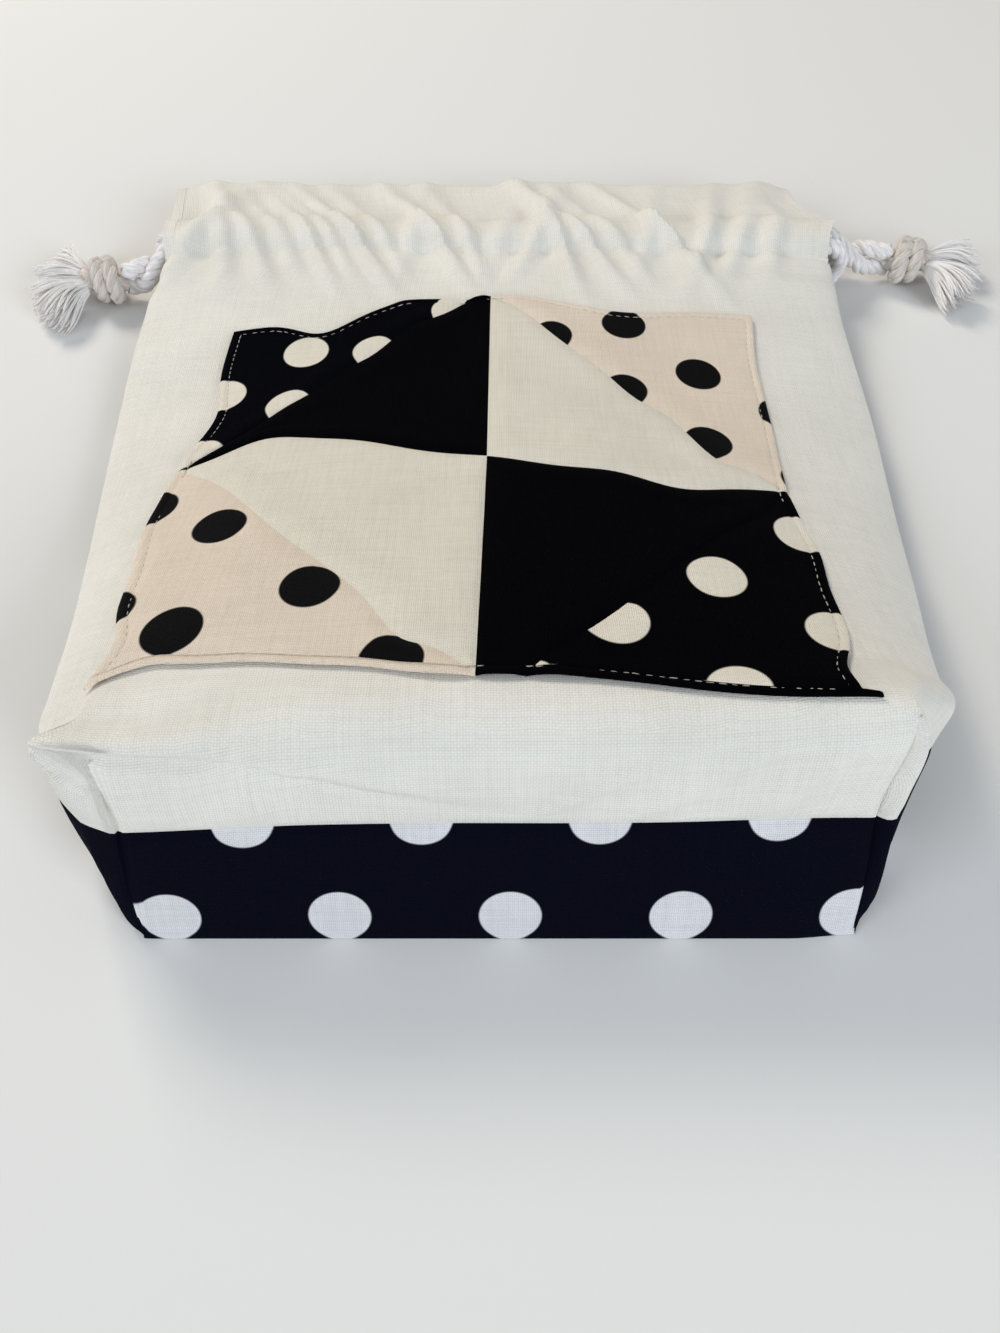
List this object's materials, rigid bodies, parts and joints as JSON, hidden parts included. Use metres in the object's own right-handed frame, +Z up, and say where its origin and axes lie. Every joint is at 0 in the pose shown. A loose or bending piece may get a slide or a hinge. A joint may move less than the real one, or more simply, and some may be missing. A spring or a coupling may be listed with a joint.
{
  "type": "drawstring pouch",
  "caption": "Cotton drawstring pouch with a boxed bottom, a patchwork square on its front and two knotted drawcords, lying on its back with the mouth open.",
  "frame": {"origin": "centre of the pouch's footprint on the table, cords left out, with the pouch lying on its back", "axes": "+X across the pouch, +Y from the boxed bottom to the mouth, +Z up from the table through the patchwork front"},
  "size_m": [0.3223, 0.2686, 0.0523],
  "materials": {
    "ivory_cotton": "plain-woven oxford cotton, matt",
    "dotted_back_cotton": "printed plain-woven cotton, white dots on navy black, matt",
    "black_cotton": "fine plain-woven cotton, matt",
    "black_dotted_cotton": "printed cotton, cream dots on black, matt",
    "cream_cotton": "fine plain-woven cotton, matt",
    "cream_dotted_cotton": "printed cotton, black dots on cream, matt",
    "sewing_thread": "spun polyester thread",
    "cotton_cord": "soft three-strand twisted cotton rope"
  },
  "bodies": {
    "pouch": {"front_panel": "ivory_cotton", "back_panel": "dotted_back_cotton", "patch_upper_left_inner": "black_cotton", "patch_upper_left_outer": "black_dotted_cotton", "patch_upper_right_inner": "cream_cotton", "patch_upper_right_outer": "cream_dotted_cotton", "patch_lower_left_inner": "cream_cotton", "patch_lower_left_outer": "cream_dotted_cotton", "patch_lower_right_inner": "black_cotton", "patch_lower_right_outer": "black_dotted_cotton", "patch_topstitching": "sewing_thread", "front_casing": "ivory_cotton", "back_casing": "dotted_back_cotton", "front_casing_lower_stitching": "sewing_thread", "front_casing_upper_stitching": "sewing_thread", "back_casing_lower_stitching": "sewing_thread", "back_casing_upper_stitching": "sewing_thread", "left_side_seam": "ivory_cotton", "right_side_seam": "ivory_cotton", "left_corner_seam": "ivory_cotton", "right_corner_seam": "ivory_cotton", "bottom_seam": "ivory_cotton"},
    "left_mouth_corner": {"left_slit_hem": "ivory_cotton"},
    "right_mouth_corner": {"right_slit_hem": "ivory_cotton"},
    "left_cord": {"left_drawcord": "cotton_cord", "left_knot": "cotton_cord", "left_tassel_upper": "cotton_cord", "left_tassel_lower": "cotton_cord"},
    "right_cord": {"right_drawcord": "cotton_cord", "right_knot": "cotton_cord", "right_tassel_upper": "cotton_cord", "right_tassel_lower": "cotton_cord"}
  },
  "joints": [
    {"name": "left_cord_draw", "type": "slide", "parent": "pouch", "child": "left_cord", "axis": [-1, 0, 0], "range_m": [0, 0.03]},
    {"name": "right_cord_draw", "type": "slide", "parent": "pouch", "child": "right_cord", "axis": [1, 0, 0], "range_m": [0, 0.03]},
    {"name": "left_mouth_draw", "type": "slide", "parent": "pouch", "child": "left_mouth_corner", "axis": [1, 0, 0], "range_m": [0, 0.03], "deforming": ["front_casing", "front_casing_lower_stitching", "front_casing_upper_stitching"]},
    {"name": "right_mouth_draw", "type": "slide", "parent": "pouch", "child": "right_mouth_corner", "axis": [-1, 0, 0], "range_m": [0, 0.03], "deforming": ["back_casing", "back_casing_lower_stitching", "back_casing_upper_stitching"]}
  ],
  "couplings": [
    {"joint": "right_cord_draw", "follows": "left_cord_draw", "ratio": 1},
    {"joint": "left_mouth_draw", "follows": "left_cord_draw", "ratio": 1},
    {"joint": "right_mouth_draw", "follows": "left_cord_draw", "ratio": 1}
  ]
}
